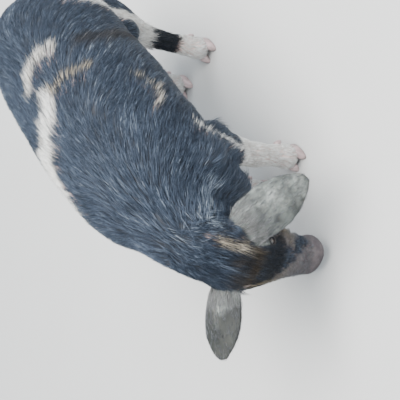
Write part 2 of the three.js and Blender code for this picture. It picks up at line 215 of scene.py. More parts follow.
# A circle is extruded from ring to ring. place gives the point of one step and one corner of the ring.
def extrudeRings(around, steps, place):
    bm = bmesh.new()
    number = bm.verts.layers.int.new("number")
    ring = bmesh.ops.create_circle(bm, segments=around, radius=1)["verts"]
    for k, vert in enumerate(ring):
        vert[number] = k
    edges = list(bm.edges)
    for step in range(steps + 1):
        if step:
            made = bmesh.ops.extrude_edge_only(bm, edges=edges)["geom"]
            ring = [part for part in made if isinstance(part, bmesh.types.BMVert)]
            ends = set(ring)
            edges = [part for part in made if isinstance(part, bmesh.types.BMEdge)]
            edges = [edge for edge in edges if all(vert in ends for vert in edge.verts)]
        for vert in ring:
            vert.co = place(step, vert[number])
    bmesh.ops.holes_fill(bm, edges=[edge for edge in bm.edges if edge.is_boundary])
    bmesh.ops.recalc_face_normals(bm, faces=bm.faces)
    return bm


def loft(form, around, steps):
    return extrudeRings(around, steps, lambda step, k: form.at(step / steps, k / around * 2 * math.pi))


# Takes a mesh from the pig's frame to the scene's. sceneMesh has smooth faces, flatMesh flat ones.
def flatMesh(name, bm):
    for vert in bm.verts:
        vert.co = toScene(vert.co)
    return newMesh(name, bm)


def sceneMesh(name, bm):
    for face in bm.faces:
        face.smooth = True
    return flatMesh(name, bm)


def ball(centre, radii):
    bm = bmesh.new()
    place = Matrix.Translation(centre) @ Matrix.Diagonal((*radii, 1))
    bmesh.ops.create_icosphere(bm, subdivisions=3, radius=1, matrix=place)
    return bm


# Trunk. Each row is a share of the length from chest to rump, then shares of the width, rise and drop.
trunkSize = {"chest": 176, "rump": -220, "middle": 202, "rise": 84, "halfWidth": 91, "coat": 4.2}
trunkShares = [
    (0, 0.1, 0.1, 0.15),
    (0.025, 0.5, 0.42, 1.05),
    (0.09, 0.72, 0.68, 1.46),
    (0.19, 0.88, 0.9, 1.1),
    (0.32, 0.98, 0.99, 0.95),
    (0.46, 1.03, 1, 0.9),
    (0.6, 1, 1.02, 0.8),
    (0.73, 0.93, 1.04, 0.74),
    (0.84, 0.8, 0.97, 0.72),
    (0.93, 0.62, 0.78, 0.66),
    (0.985, 0.34, 0.45, 0.42),
    (1, 0.06, 0.08, 0.08),
]

# Swellings: how far out, then the middle and the spread along x and up.
trunkSwells = [
    (7, (98, 34), (158, 36)),  # shoulder
    (9, (-134, 38), (172, 42)),  # haunch
    (-6, (-72, 22), (140, 34)),  # flank
]
headSwells = [
    (5, (190, 16), (92, 16)),  # jowl
    (2.5, (232, 12), (122, 9)),  # brow
]


def swellOut(swells, p):
    return sum(out * bump(p[0], *along) * bump(p[2], *up) for out, along, up in swells)


def swellTrunk(p, c):
    return p + np.array([0, -swellOut(trunkSwells, p) * c, 0])


trunk = Form(
    [
        (
            trunkSize["chest"] + share * (trunkSize["rump"] - trunkSize["chest"]),
            -8 * max(0, 1 - share * 3),
            trunkSize["middle"],
            width * trunkSize["halfWidth"],
            rise * trunkSize["rise"],
            drop * trunkSize["rise"],
        )
        for share, width, rise, drop in trunkShares
    ],
    side=(0, -1, 0),
    depth=trunkSize["coat"],
    swell=swellTrunk,
)

headMiddle = -20  # the head is turned, so its middle lies to the right of the pig's
neck = Form([
    (108, -3, 190, 54, 62, 60),
    (146, -8, 186, 55, 60, 66),
    (174, -13, 174, 46, 52, 66),
    (195, -17, 156, 38, 43, 56),
    (208, -19, 134, 32, 30, 38),
], depth=3)


def swellHead(p, c):
    side = 1 if p[1] > headMiddle else -1
    return p + np.array([0, side * swellOut(headSwells, p), 0])


head = Form([
    (192, -18, 172, 10, 8, 10),
    (197, -18, 165, 31, 24, 30),
    (204, -19, 143, 40, 34, 44),
    (208, -19, 117, 40, 34, 48),
    (211, -20, 90, 35, 26, 44),
    (211, -22, 65, 29, 20, 32),
    (210, -23, 48, 26, 19, 24),
    (208, -24, 34, 24.5, 19, 21),
], depth=2, swell=swellHead)

snout = Form([
    (209, -24, 42, 12, 10, 11),
    (208, -24, 36, 22.5, 17.5, 19),
    (207, -24, 29, 23.5, 19, 20),
    (206, -24, 22, 24, 19.5, 20.5),
    (205, -24, 17, 22, 17.5, 18.5),
], fullness=2.4, depth=0.4)

tail = Form([
    (-206, 0, 230, 11, 11, 11),
    (-222, 0, 222, 10, 10, 10),
    (-232, 2, 204, 9, 9, 9),
    (-235, 5, 182, 9, 9, 9),
    (-232, 7, 160, 8.5, 8.5, 8.5),
    (-228, 8, 140, 4, 4, 4),
], depth=3.5)


# Leg rows give x from where the foot stands, and y for the left side.
legRows = {
    "foreleg": [
        (2, 43, 168, 26, 38, 36),
        (4, 46, 135, 23, 32, 28),
        (3, 43, 108, 18, 24, 20),
        (2, 38, 82, 15, 16, 16),
        (2, 35, 62, 14.5, 15, 14.5),
        (0, 34, 44, 13, 13, 13),
        (-1, 33, 28, 14, 13.5, 14),
        (1, 33, 14, 15.5, 14, 15),
        (1, 33, 6, 13.5, 11, 14),
    ],
    "hindleg": [
        (-18, 41, 190, 32, 52, 46),
        (-18, 45, 155, 31, 46, 40),
        (-14, 43, 128, 24, 32, 28),
        (-12, 40, 106, 16.5, 18, 18),
        (-9, 37, 86, 13.5, 13.5, 14.5),
        (-6, 34, 55, 12.5, 12.5, 13),
        (-4, 33, 30, 13.5, 13.5, 13.5),
        (0, 33, 14, 15, 14, 15),
        (0, 33, 6, 13, 11, 13),
    ],
}
legs, feet = {}, {}
for name, side in sides.items():
    for kind, foot in (("foreleg", foreFoot), ("hindleg", hindFoot)):
        place = foot["x"] + foot["rightX"] * (side < 0)
        rows = [(place + x, y * side, *rest) for x, y, *rest in legRows[kind]]
        legs[f"{name}_{kind}"] = Form(rows, depth=2)
        feet[f"{name}_{kind}"] = (place, foot["y"] * side, side)

# Ears are curved leaves. root and tip are the ends, and face is the way that the outer side looks.
earSize = {
    "width": 60,
    "thick": 3.8,
    "rows": 30,
    "columns": 22,
    "curl": 0.42,
    "dome": 7,
    "rib": 0.5,
    "wave": 1.6,
}
earPlaces = {
    "left": {"root": (215, 12, 156), "tip": (204, 87, 88), "face": (0.75, 0.1, 0.7)},
    "right": {"root": (214, -46, 141), "tip": (278, -108, 147), "face": (0.12, 0.05, 1)},
}


def earAxes(place):
    root, tip = np.array(place["root"], float), np.array(place["tip"], float)
    reach = tip - root
    along = unit(reach)
    face = np.array(place["face"], float)
    out = unit(face - along * (face @ along))
    return root, reach, along, out, np.cross(along, out)


def earHalfWidth(share):
    share = np.clip(share, 0, 1)
    leaf = np.sin(math.pi * (0.08 + 0.82 * share)) ** 0.6
    return earSize["width"] / 2 * leaf * np.sqrt(1 - 0.85 * share**5)


# The height of the leaf over its chord. v runs from -1 to 1 across it.
def earLevel(share, v):
    curl = earSize["curl"] * (1 - share * 0.5) * v * v * earHalfWidth(share)
    return earSize["dome"] * np.sin(math.pi * share) - curl


def earPoint(place, share, v, height):
    root, reach, along, out, across = earAxes(place)
    rib = earSize["rib"] * math.cos(v * 9) * (1 - share)
    wave = earSize["wave"] * math.sin(7 * share + 2 * v) * abs(v) ** 3
    level = earLevel(share, v) + rib + wave + height
    return root + reach * share + across * v * earHalfWidth(share) + out * level


def earLeaf(place):
    bm = bmesh.new()
    bmesh.ops.create_grid(bm, x_segments=earSize["columns"], y_segments=earSize["rows"], size=1)
    for vert in bm.verts:
        v, share = vert.co.x, (vert.co.y + 1) / 2
        narrow = math.sqrt(1 - 0.12 * v * v * share)
        vert.co = earPoint(place, share, v * narrow, 0.4 * earSize["thick"])
    bmesh.ops.recalc_face_normals(bm, faces=bm.faces)
    out = Vector(earAxes(place)[3])
    if sum(face.normal.dot(out) for face in bm.faces) < 0:
        bmesh.ops.reverse_faces(bm, faces=bm.faces)
    bmesh.ops.solidify(bm, geom=list(bm.faces), thickness=earSize["thick"])
    return bm


# Wattles hang from the throat, thin at the root and bulbed at the end.
def wattle(side):
    y = headMiddle + side * 13
    return Form([
        (180, y, 96, 4, 4, 4),
        (170, y, 84, 3.6, 3.6, 3.6),
        (164, y + side, 72, 4.2, 4.2, 4.2),
        (162, y + side * 2, 60, 5.6, 5.6, 5.6),
        (162, y + side * 2, 52, 3.6, 3.6, 3.6),
    ])


wattles = {name: wattle(side) for name, side in sides.items()}

# Skin. The forms are fused into one surface, which is smoothed, folded and thinned.
skinSize = {"voxel": 0.0018, "bodySmooth": 10, "earSmooth": 2, "faces": 185000, "earFrom": 0.12}
muscles = [
    ((118, 56, 168), (34, 16, 30)),  # shoulder
    ((96, 57, 132), (20, 12, 20)),  # upper foreleg
    ((-150, 52, 182), (40, 22, 44)),  # haunch
    ((-118, 52, 150), (18, 18, 26)),  # stifle
    ((-141, 40, 110), (9, 9, 14)),  # hock
    ((100, 37, 64), (13, 12.5, 13)),  # knee
]


# All forms are joined in one mesh, and a voxel remesh makes them one surface.
def fuse(forms):
    joined = bmesh.new()
    for bm in forms:
        mesh = newMesh("form", bm)
        joined.from_mesh(mesh)
        bpy.data.meshes.remove(mesh)
    item = addItem("fuse", flatMesh("fuse", joined))
    remesh = item.modifiers.new("remesh", "REMESH")
    remesh.mode = "VOXEL"
    remesh.voxel_size = skinSize["voxel"]
    return item


def bake(item):
    graph = bpy.context.evaluated_depsgraph_get()
    mesh = bpy.data.meshes.new_from_object(item.evaluated_get(graph))
    bpy.data.objects.remove(item)
    return mesh


def vertexVectors(mesh, key):
    values = np.empty(len(mesh.vertices) * 3, np.float32)
    mesh.vertices.foreach_get(key, values)
    return values.reshape(-1, 3).astype(float)


def coordinates(mesh):
    return (vertexVectors(mesh, "co") - origin) * 1000


def fleshForms():
    lofts = [(trunk, 64, 90), (neck, 48, 40), (head, 48, 60), (snout, 40, 24), (tail, 16, 40)]
    lofts += [(form, 32, 60) for form in legs.values()]
    lofts += [(form, 16, 24) for form in wattles.values()]
    forms = [loft(form, around, steps) for form, around, steps in lofts]
    forms += [earLeaf(place) for place in earPlaces.values()]
    for (x, y, z), radii in muscles:
        forms += [ball((x, y * side, z), radii) for side in sides.values()]
    return forms


skinMesh = bake(fuse(fleshForms()))
print("skin fused:", len(skinMesh.vertices), "points")


# How far each point is from a path of straight steps.
def distanceToPath(points, path):
    best = np.full(len(points), 1e9)
    path = np.array(path, float)
    for a, b in zip(path[:-1], path[1:]):
        step = b - a
        share = np.clip((points - a) @ step / max(step @ step, 1e-9), 0, 1)
        best = np.minimum(best, np.linalg.norm(points - a - share[:, None] * step, axis=1))
    return best


def nearPath(points, path, spread):
    return bump(distanceToPath(points, path), 0, spread)


# How far along an ear each point is, or -1 where it isn't near the leaf.
def earShare(points, place):
    root, reach, along, out, across = earAxes(place)
    off = points - root
    share = off @ reach / (reach @ reach)
    v = off @ across / earHalfWidth(share)
    near = (np.abs(off @ out - earLevel(share, v)) < 7) & (np.abs(v) < 1.25) & (share < 1.1)
    return np.where(near, share, -1)


def inEar(points):
    return np.max([earShare(points, place) for place in earPlaces.values()], axis=0)


# The ears are thin, so they are smoothed less than the body.
def smoothSkin(mesh):
    bm = bmesh.new()
    bm.from_mesh(mesh)
    inLeaf = inEar(coordinates(mesh)) > skinSize["earFrom"]
    body = [vert for vert, leaf in zip(bm.verts, inLeaf) if not leaf]
    axes = {"use_axis_x": True, "use_axis_y": True, "use_axis_z": True}
    for step in range(skinSize["bodySmooth"]):
        bmesh.ops.smooth_vert(bm, verts=body, factor=0.5, **axes)
    for step in range(skinSize["earSmooth"]):
        bmesh.ops.smooth_vert(bm, verts=bm.verts, factor=0.5, **axes)
    bm.normal_update()
    bm.to_mesh(mesh)
    bm.free()


smoothSkin(skinMesh)
print("skin smoothed")

# Folds are a depth, a width and a path in the skin. Each is a crease with a roll on both sides.
folds = [
    (2.6, 5, [(-58, 88, 178), (-66, 84, 158), (-74, 74, 138)]),
    (1.8, 4, [(-84, 86, 172), (-88, 80, 150), (-92, 66, 132)]),
    (2.2, 4.5, [(72, 78, 150), (68, 66, 132), (66, 50, 118)]),
    (1.6, 5, [(142, 44, 168), (134, 56, 146), (126, 58, 126)]),
    (1.5, 5, [(178, 22, 190), (172, 36, 168), (176, 34, 140)]),
    (1.4, 4.5, [(196, 18, 172), (186, 30, 150), (186, 28, 124)]),
    (1.4, 5, [(-166, 66, 128), (-164, 40, 120), (-160, 22, 124)]),
]

# Wrinkles run across the front of the face, on the brow and on the muzzle.
wrinkles = [
    {"depth": 0.7, "pitch": 2.4, "bend": 0.6, "wave": 7, "x": 215, "z": (128, 10), "limits": (108, 150)},
    {"depth": 0.45, "pitch": 1.6, "bend": 1, "wave": 5, "x": 205, "z": (52, 12), "limits": (0, 300)},
]
unevenness = {"depth": 0.35, "size": 14}


def foldBy(points, path, depth, width):
    gap = distanceToPath(points, path)
    return depth * (0.5 * bump(gap, 2.4 * width, width) - bump(gap, 0, 0.55 * width))


def wrinkleBy(points, wrinkle):
    x, y, z = points.T
    low, high = wrinkle["limits"]
    here = (z > low) & (z < high) & (x > wrinkle["x"])
    wave = np.sin(z / wrinkle["pitch"] + wrinkle["bend"] * np.sin(y / wrinkle["wave"]))
    return here * wrinkle["depth"] * wave * bump(z, *wrinkle["z"])


def shapeSkin(mesh):
    points, normals = coordinates(mesh), vertexVectors(mesh, "normal")
    push = unevenness["depth"] * ripple(points, unevenness["size"])
    for depth, width, path in folds:
        for side in sides.values():
            push += foldBy(points, [(x, y * side, z) for x, y, z in path], depth, width)
    for wrinkle in wrinkles:
        push += wrinkleBy(points, wrinkle)
    return points + normals * push[:, None]


# The mouth is a crease that runs under the snout and up both cheeks, with a lip beside it.
mouthLine = {
    "start": 0.955,
    "rise": 0.27,
    "turn": 1.35,
    "steps": 28,
    "depth": 2.6,
    "width": 1.3,
    "lip": 1.5,
    "lipPlace": (3.4, 1.6),
}
nostril = {"spread": 8, "forward": 2.5, "width": 3.6, "length": 4.8, "depth": 7, "rim": 0.9, "reach": 8}


def mouthPath():
    path = []
    for i in range(mouthLine["steps"] + 1):
        s = i / mouthLine["steps"] * 2 - 1
        t = mouthLine["start"] - mouthLine["rise"] * abs(s) ** 1.8
        path.append(head.at(t, -math.pi / 2 + s * mouthLine["turn"]))
    return path


def openFace(points, normals):
    gap = distanceToPath(points, mouthPath())
    crease = -mouthLine["depth"] * bump(gap, 0, mouthLine["width"])
    lip = mouthLine["lip"] * bump(gap, *mouthLine["lipPlace"])
    points = points + normals * (crease + lip)[:, None]
    along, across, up = snout.axes(1)
    end = snout.row(1)[:3]
    for side in sides.values():
        centre = end + across * side * nostril["spread"] + up * nostril["forward"]
        off = points - centre
        gap = np.sqrt((off @ across / nostril["width"]) ** 2 + (off @ up / nostril["length"]) ** 2)
        near = np.abs(off @ along) < nostril["reach"]
        rim = nostril["rim"] * bump(gap, 1.5, 0.25)
        hole = -nostril["depth"] * (1 - smooth(gap, 0.45, 1.15))
        points = points + along * ((hole + rim) * near)[:, None]
    return points


def setCoordinates(mesh, points):
    mesh.vertices.foreach_set("co", toScene(points).astype(np.float32).ravel())
    mesh.update()


setCoordinates(skinMesh, shapeSkin(skinMesh))
setCoordinates(skinMesh, openFace(coordinates(skinMesh), vertexVectors(skinMesh, "normal")))


def thin(mesh, faces):
    item = addItem("thin", mesh)
    cut = item.modifiers.new("decimate", "DECIMATE")
    mesh.calc_loop_triangles()
    cut.ratio = min(1, faces / len(mesh.loop_triangles))
    return bake(item)


skinMesh = thin(skinMesh, skinSize["faces"])
skinMesh.polygons.foreach_set("use_smooth", np.ones(len(skinMesh.polygons), bool))
print("skin shaped:", len(skinMesh.polygons), "faces")

# Markings. Each patch is a radius, a soft edge and a path in the pig's frame, all in millimetres.
earStreak = [(214, 12, 186), (219, 12, 174), (222, 10, 162), (221, 11, 152)]
cheekStreak = [(237, -40, 133), (240, -37, 118), (236, -35, 94)]
patches = {
    "pale": [
        (13, 8, [(36, -22, 280), (20, -8, 283)]),
        (8.5, 8, [(26, 2, 282), (8, 12, 282), (-6, 18, 281)]),
        (7.5, 6, [(-30, 2, 283), (-44, 8, 284), (-54, 20, 283), (-57, 34, 279), (-52, 48, 273)]),
        (2.5, 4, [(-6, 18, 281), (0, 35, 278), (1, 49, 271), (7, 65, 260)]),
        (2.5, 4, [(36, 87, 236), (40, 87, 222), (52, 88, 212), (66, 86, 208)]),
        (3.5, 4, [(60, 87, 207), (76, 83, 209), (90, 79, 220)]),
        (23, 9, [(34, -48, 272), (60, -56, 264), (90, -64, 250), (92, -84, 222), (74, -92, 180)]),
        (10, 4, [(-130, 80, 224), (-116, 85, 204), (-114, 81, 182), (-124, 72, 160), (-126, 62, 136)]),
        (9, 5, [(-118, -84, 214), (-112, -86, 190), (-122, -70, 156), (-126, -58, 126)]),
        (4, 5, [(108, 74, 176), (109, 71, 162), (111, 67, 149), (117, 63, 136), (117, 54, 112)]),
        (4.5, 4, earStreak),
        (4, 4, cheekStreak),
        (9, 4, [(210, 24, 96), (208, 23, 78), (203, 18, 58)]),
    ],
    "brown": [
        (6, 10, [(229, -34, 164), (231, -12, 168), (226, 4, 168)]),
        (11, 6, [(239, -30, 142), (238, -14, 142), (233, 6, 142)]),
        (6, 6, earStreak),
        (0, 9, [(-30, 2, 283), (-54, 20, 283), (-57, 34, 279), (-50, 52, 272)]),
        (4, 6, [(-2, 28, 279), (1, 49, 271), (7, 66, 260)]),
        (2, 8, [(36, 87, 240), (40, 87, 222), (52, 88, 212), (66, 86, 206), (92, 79, 221)]),
        (6, 6, cheekStreak),
        (3, 8, [(212, 21, 92), (205, 17, 58)]),
        (6, 14, [(-40, 72, 255), (-34, 82, 225), (-50, 84, 190)]),
    ],
    "slate": [
        (8, 3, [(222, 4, 62), (216, 8, 54), (208, 8, 47), (200, 6, 42)]),
    ],
}


def patchAmount(points, kind):
    slanted = points * np.array([0.3, 1, 0.8])
    wobble = noiseSum(points, (3, 14, 0)) + noiseSum(slanted, (2, 5, 1), (2.5, 1.7, 2))
    amount = np.zeros(len(points))
    for radius, edge, path in patches[kind]:
        rough = min(1, 0.2 + radius / 12)
        gap = distanceToPath(points, path) - radius + rough * wobble
        amount = np.maximum(amount, 1 - smooth(gap, -edge, edge))
    return amount


bodyForms = {"trunk": trunk, "neck": neck, "head": head, "snout": snout, "tail": tail, **legs}
bodyForms.update({f"wattle_{name}": form for name, form in wattles.items()})
partNames = list(bodyForms) + ["ear_left", "ear_right"]
partClear = {"share": 0.1, "out": 1.02}


# The part that each point belongs to, how far along it is, and how far it is out of every form.
# An ear counts only where it is clear of the trunk, neck and head, which are the first three forms.
def partsOf(points):
    outs, shares = zip(*(form.nearness(points) for form in bodyForms.values()))
    outs, shares = np.array(outs), np.array(shares)
    part = outs.argmin(axis=0)
    share = shares[part, np.arange(len(points))]
    for i, place in enumerate(earPlaces.values()):
        along = earShare(points, place)
        clear = (along > partClear["share"]) & (outs[:3].min(axis=0) > partClear["out"])
        part = np.where(clear, len(bodyForms) + i, part)
        share = np.where(clear, along, share)
    return part, share, outs


def isPart(part, *names):
    return np.isin(part, [partNames.index(name) for name in names])


# The grey muzzle. The black of the forehead runs down its bridge to a point.
muzzleEdge = {"low": 72, "high": 96, "shift": -15, "bridge": 33}


def muzzleAmount(points, part):
    middle = bump(points[:, 1], -7, 11) * smooth(points[:, 0], 212, 224)
    wobble = noiseSum(points, (3, 6, 5), (1.5, 2, 6))
    z = points[:, 2] + wobble + muzzleEdge["shift"] + muzzleEdge["bridge"] * middle
    grey = 1 - smooth(z, muzzleEdge["low"], muzzleEdge["high"])
    return isPart(part, "head", "snout") * grey * (1 - patchAmount(points, "slate"))


# The white heights of each leg: the feet, and a ring at the left hock over a black shank.
legMarks = {
    "left_foreleg": [(-20, 106)],
    "right_foreleg": [(-20, 46)],
    "left_hindleg": [(-20, 50), (103, 129)],
    "right_hindleg": [(-20, 112)],
}


def markings(points, part):
    pale = patchAmount(points, "pale")
    brown = patchAmount(points, "brown")
    z = points[:, 2] + noiseSum(points, (2.5, 9, 3), (2, 2.5, 4))
    for name, heights in legMarks.items():
        for low, high in heights:
            band = within(z, (low - 3, low + 3), (high - 4, high + 4))
            pale = np.maximum(pale, isPart(part, name) * band)
    muzzle = muzzleAmount(points, part)
    cheek = muzzle * smooth(points[:, 2], 52, 84)
    dark = 0.9 * patchAmount(points, "slate")
    pale = np.maximum(pale, 0.14 * muzzle + 0.26 * cheek) * (1 - dark)
    return pale, np.clip(np.maximum(brown, 0.7 * cheek), 0, 1)


def addColour(mesh, name, values):
    layer = mesh.color_attributes.new(name, "FLOAT_COLOR", "POINT")
    layer.data.foreach_set("color", values.astype(np.float32).ravel())


# A material and the means to build it up node by node.
class Nodes:
    def __init__(self, name):
        self.material = bpy.data.materials.new(name)
        self.material.use_nodes = True
        self.tree = self.material.node_tree
        self.shader = self.tree.nodes["Principled BSDF"]

    # A socket takes a number, a colour or what another node gives.
    def feed(self, socket, value):
        if isinstance(value, bpy.types.NodeSocket):
            self.tree.links.new(value, socket)
        elif socket.type == "RGBA":
            socket.default_value = (*value, 1)
        else:
            socket.default_value = value

    def add(self, kind, inputs, **settings):
        node = self.tree.nodes.new(kind)
        for key, value in settings.items():
            setattr(node, key, value)
        for key, value in inputs.items():
            self.feed(node.inputs[key], value)
        return node

    def set(self, **values):
        for key, value in values.items():
            self.shader.inputs[key.replace("_", " ")].default_value = value

    def noise(self, scale, detail=4.0, roughness=0.6, stretch=(1, 1, 1)):
        place = self.add("ShaderNodeTexCoord", {}).outputs["Object"]
        vector = self.add("ShaderNodeMapping", {"Vector": place, "Scale": stretch}).outputs["Vector"]
        inputs = {"Vector": vector, "Scale": scale, "Detail": detail, "Roughness": roughness}
        return self.add("ShaderNodeTexNoise", inputs).outputs["Fac"]

    def ramp(self, source, *stops):
        node = self.add("ShaderNodeValToRGB", {"Fac": source})
        elements = node.color_ramp.elements
        while len(elements) < len(stops):
            elements.new(0.5)
        for element, (at, colour) in zip(elements, stops):
            element.position = at
            element.color = (*colour, 1)
        return node.outputs["Color"]

    def value(self, source, low, high, toLow=0.0, toHigh=1.0):
        limits = {"From Min": low, "From Max": high, "To Min": toLow, "To Max": toHigh}
        return self.add("ShaderNodeMapRange", {"Value": source, **limits}).outputs["Result"]

    def maths(self, operation, first, second):
        inputs = {0: first, 1: second}
        return self.add("ShaderNodeMath", inputs, operation=operation).outputs["Value"]

    def mix(self, factor, first, second, blend="MIX"):
        inputs = {0: factor, 6: first, 7: second}
        return self.add("ShaderNodeMix", inputs, data_type="RGBA", blend_type=blend).outputs[2]

    def channels(self, name):
        colour = self.add("ShaderNodeVertexColor", {}, layer_name=name)
        parts = self.add("ShaderNodeSeparateColor", {"Color": colour.outputs["Color"]})
        red, green, blue = (parts.outputs[key] for key in ("Red", "Green", "Blue"))
        return red, green, blue, colour.outputs["Alpha"]

    def bump(self, source, strength, distance, under=None):
        inputs = {"Strength": strength, "Distance": distance, "Height": source}
        if under:
            inputs["Normal"] = under
        return self.add("ShaderNodeBump", inputs).outputs["Normal"]

    def finish(self, colour, normal=None):
        self.feed(self.shader.inputs["Base Color"], colour)
        if normal:
            self.feed(self.shader.inputs["Normal"], normal)
        return self.material


# Skin colours, as stops of a ramp: slate under the black coat, pink under the white, grey leather on the
# ears, dusk for its darker parts (mottle, and painted shade towards the tips), mauve on the muzzle,
# darkened as painted shade.
skinColours = {
    "slate": [(0.3, (0.005, 0.006, 0.009)), (0.7, (0.014, 0.017, 0.023))],
    "rose": [(0.25, (0.36, 0.25, 0.22)), (0.75, (0.56, 0.44, 0.4))],
    "grey": [(0.34, (0.036, 0.04, 0.038)), (0.5, (0.09, 0.098, 0.09)), (0.64, (0.22, 0.23, 0.212))],
    "dusk": [(0.34, (0.005, 0.006, 0.005)), (0.5, (0.013, 0.014, 0.012)), (0.64, (0.034, 0.034, 0.029))],
    "mauve": [(0.3, (0.026, 0.021, 0.024)), (0.5, (0.056, 0.046, 0.049)), (0.72, (0.115, 0.095, 0.093))],
    "brown": (0.02, 0.0145, 0.011),
}


def hideMaterial():
    n = Nodes("hide")
    pale, brown, leather, muzzle = n.channels("markings")
    mottle = n.noise(70, 6, 0.65)
    slate, rose = (n.ramp(mottle, *skinColours[key]) for key in ("slate", "rose"))
    pore = n.maths("MULTIPLY", n.noise(420, 5, 0.7), 0.25)
    cloud = n.maths("ADD", n.maths("MULTIPLY", n.noise(26, 6, 0.62), 0.75), pore)
    grey, dusk = (n.ramp(cloud, *skinColours[key]) for key in ("grey", "dusk"))
    colour = n.mix(brown, slate, skinColours["brown"])
    colour = n.mix(pale, colour, rose)
    # The muzzle's mauve skin is darkened as painted shade.
    colour = n.mix(muzzle, colour, n.ramp(mottle, *skinColours["mauve"]))
    colour = n.mix(leather, colour, n.mix(brown, grey, dusk))
    fine = n.bump(n.noise(900, 4, 0.7), 0.3, 0.0005)
    wrinkle = n.bump(n.noise(160, 5, 0.6, (1, 1, 2.2)), 0.35, 0.001, fine)
    n.set(Roughness=0.66, Specular_IOR_Level=0.25, Subsurface_Weight=0.03, Subsurface_Scale=0.004)
    return n.finish(colour, wrinkle)


# Coat colours follow the markings: red holds white, green brown, blue a tone, alpha the share to the tip.
# White and brown together are tan.
coatColours = {
    "black": [
        (0.0, (0.003, 0.004, 0.006)),
        (0.3, (0.017, 0.024, 0.037)),
        (0.6, (0.043, 0.058, 0.086)),
        (0.85, (0.1, 0.127, 0.168)),
        (1.0, (0.29, 0.33, 0.375)),
    ],
    "rust": [(0.0, (0.006, 0.0045, 0.003)), (0.6, (0.034, 0.025, 0.017)), (1.0, (0.16, 0.125, 0.085))],
    "cream": [(0.0, (0.42, 0.4, 0.36)), (0.4, (0.66, 0.65, 0.62)), (1.0, (0.88, 0.88, 0.87))],
    "tan": [(0.0, (0.12, 0.095, 0.065)), (0.5, (0.34, 0.29, 0.215)), (1.0, (0.6, 0.54, 0.44))],
}


def coatMaterial():
    n = Nodes("coat")
    pale, brown, tone, along = n.channels("coatMarks")
    black, rust, cream, tan = (n.ramp(tone, *stops) for stops in coatColours.values())
    colour = n.mix(pale, n.mix(brown, black, rust), n.mix(brown, cream, tan))
    # Painted shade: each hair is darker towards its root, where the hairs over it shade it, and a little
    # brighter towards its tip.
    root = n.value(along, 0, 1, 0.6, 1.15)
    colour = n.mix(1.0, colour, n.mix(root, (0, 0, 0), (1, 1, 1)), "MULTIPLY")
    n.set(Roughness=0.5, Specular_IOR_Level=0.2)
    return n.finish(colour)


hornColours = [(0.25, (0.16, 0.115, 0.11)), (0.5, (0.3, 0.22, 0.215)), (0.8, (0.42, 0.33, 0.32))]


def clawMaterial():
    n = Nodes("horn")
    streak = n.noise(60, 6, 0.6, (1, 1, 0.15))
    dirt = n.value(n.noise(120, 5), 0.45, 0.75)
    colour = n.mix(dirt, n.ramp(streak, *hornColours), (0.1, 0.085, 0.075))
    n.set(Roughness=0.42)
    return n.finish(colour, n.bump(streak, 0.3, 0.0008))


def eyeMaterial():
    n = Nodes("eye")
    colour = n.ramp(n.noise(300, 4), (0.3, (0.012, 0.006, 0.004)), (0.8, (0.05, 0.026, 0.014)))
    n.set(Roughness=0.08, Coat_Weight=1.0, Coat_Roughness=0.03)
    return n.finish(colour)


hide, coat, horn, gloss = hideMaterial(), coatMaterial(), clawMaterial(), eyeMaterial()

# Skin piece. The ears are leather and cloudy, darker to the tip as painted shade where they curl and hang
# down, and the right one is darker all over.
earShade = {"base": 0.12, "tip": 0.4, "cloud": 0.5, "fleck": 0.35, "right": 0.25, "rightTip": 0.75}


def earMottleAndShade(points, share):
    # The darkening towards the tip is painted shade. The clouds and flecks are the leather's own mottle.
    dusk = earShade["base"] + earShade["tip"] * smooth(share, 0.4, 0.9)
    dusk += noiseSum(points, (earShade["cloud"], 11, 30), (earShade["fleck"], 5, 31))
    right = earShade["right"] + earShade["rightTip"] * smooth(share, 0.3, 0.5)
    return (dusk + (points[:, 1] < headMiddle) * right).clip(0, 1)


skinPoints = coordinates(skinMesh)
skinPart, skinShare, _ = partsOf(skinPoints)
skinPale, skinBrown = markings(skinPoints, skinPart)
skinEar = isPart(skinPart, "ear_left", "ear_right")
skinBrown = np.where(skinEar, earMottleAndShade(skinPoints, skinShare), skinBrown)
skinMuzzle = muzzleAmount(skinPoints, skinPart)
leather = skinEar * smooth(skinShare, 0.05, 0.2)
skinMarks = [skinPale * (1 - skinMuzzle), skinBrown, leather, skinMuzzle]
addColour(skinMesh, "markings", np.stack(skinMarks, axis=1))
skin = addPiece("skin", skinMesh, hide)
flesh = ["torso", "neck", "head", "snout", "tail", "ear_left", "ear_right", "wattle_left", "wattle_right"]
flesh += [f"{name}_{part}" for name in legs for part in ("upper", "lower")]
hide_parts(*flesh)
print("skin coloured")

# Coat. Each root carries a tuft of a few tapered hairs that lie along the body. Sizes in millimetres.
coatSize = {
    "trunk": {"length": 23, "lift": 3.4, "width": 0.225, "spacing": 3.45},
    "neck": {"length": 22, "lift": 3.4, "width": 0.22, "spacing": 3.1},
    "head": {"length": 12, "lift": 1.9, "width": 0.2, "spacing": 2.68},
    "snout": {"length": 3.5, "lift": 0.7, "width": 0.13, "spacing": 3.6},
    "tail": {"length": 20, "lift": 2.6, "width": 0.24, "spacing": 2.6},
    "leg": {"length": 11, "lift": 2.2, "width": 0.205, "spacing": 2.62},
    "ear": {"length": 6, "lift": 0.5, "width": 0.12, "spacing": 4.9},
    "wattle": {"length": 7, "lift": 1.2, "width": 0.18, "spacing": 2.4},
}
# A hair is two rings of three points and a tip. Each ring is a share of length, of lift and of width.
hairSize = {
    "each": 5,
    "points": 7,
    "rings": [(0, -0.35, 1.0), (0.5, 0.75, 0.9)],
    "angles": [math.radians(angle) for angle in (90, 210, 330)],
    "flat": 0.7,
    "tipLift": 0.9,
    "shares": [0, 0, 0, 0.5, 0.5, 0.5, 1.0],
}


def coatOf(part):
    for key in ("foreleg", "hindleg"):
        if key in part:
            return coatSize["leg"]
    return coatSize[part.split("_")[0]]


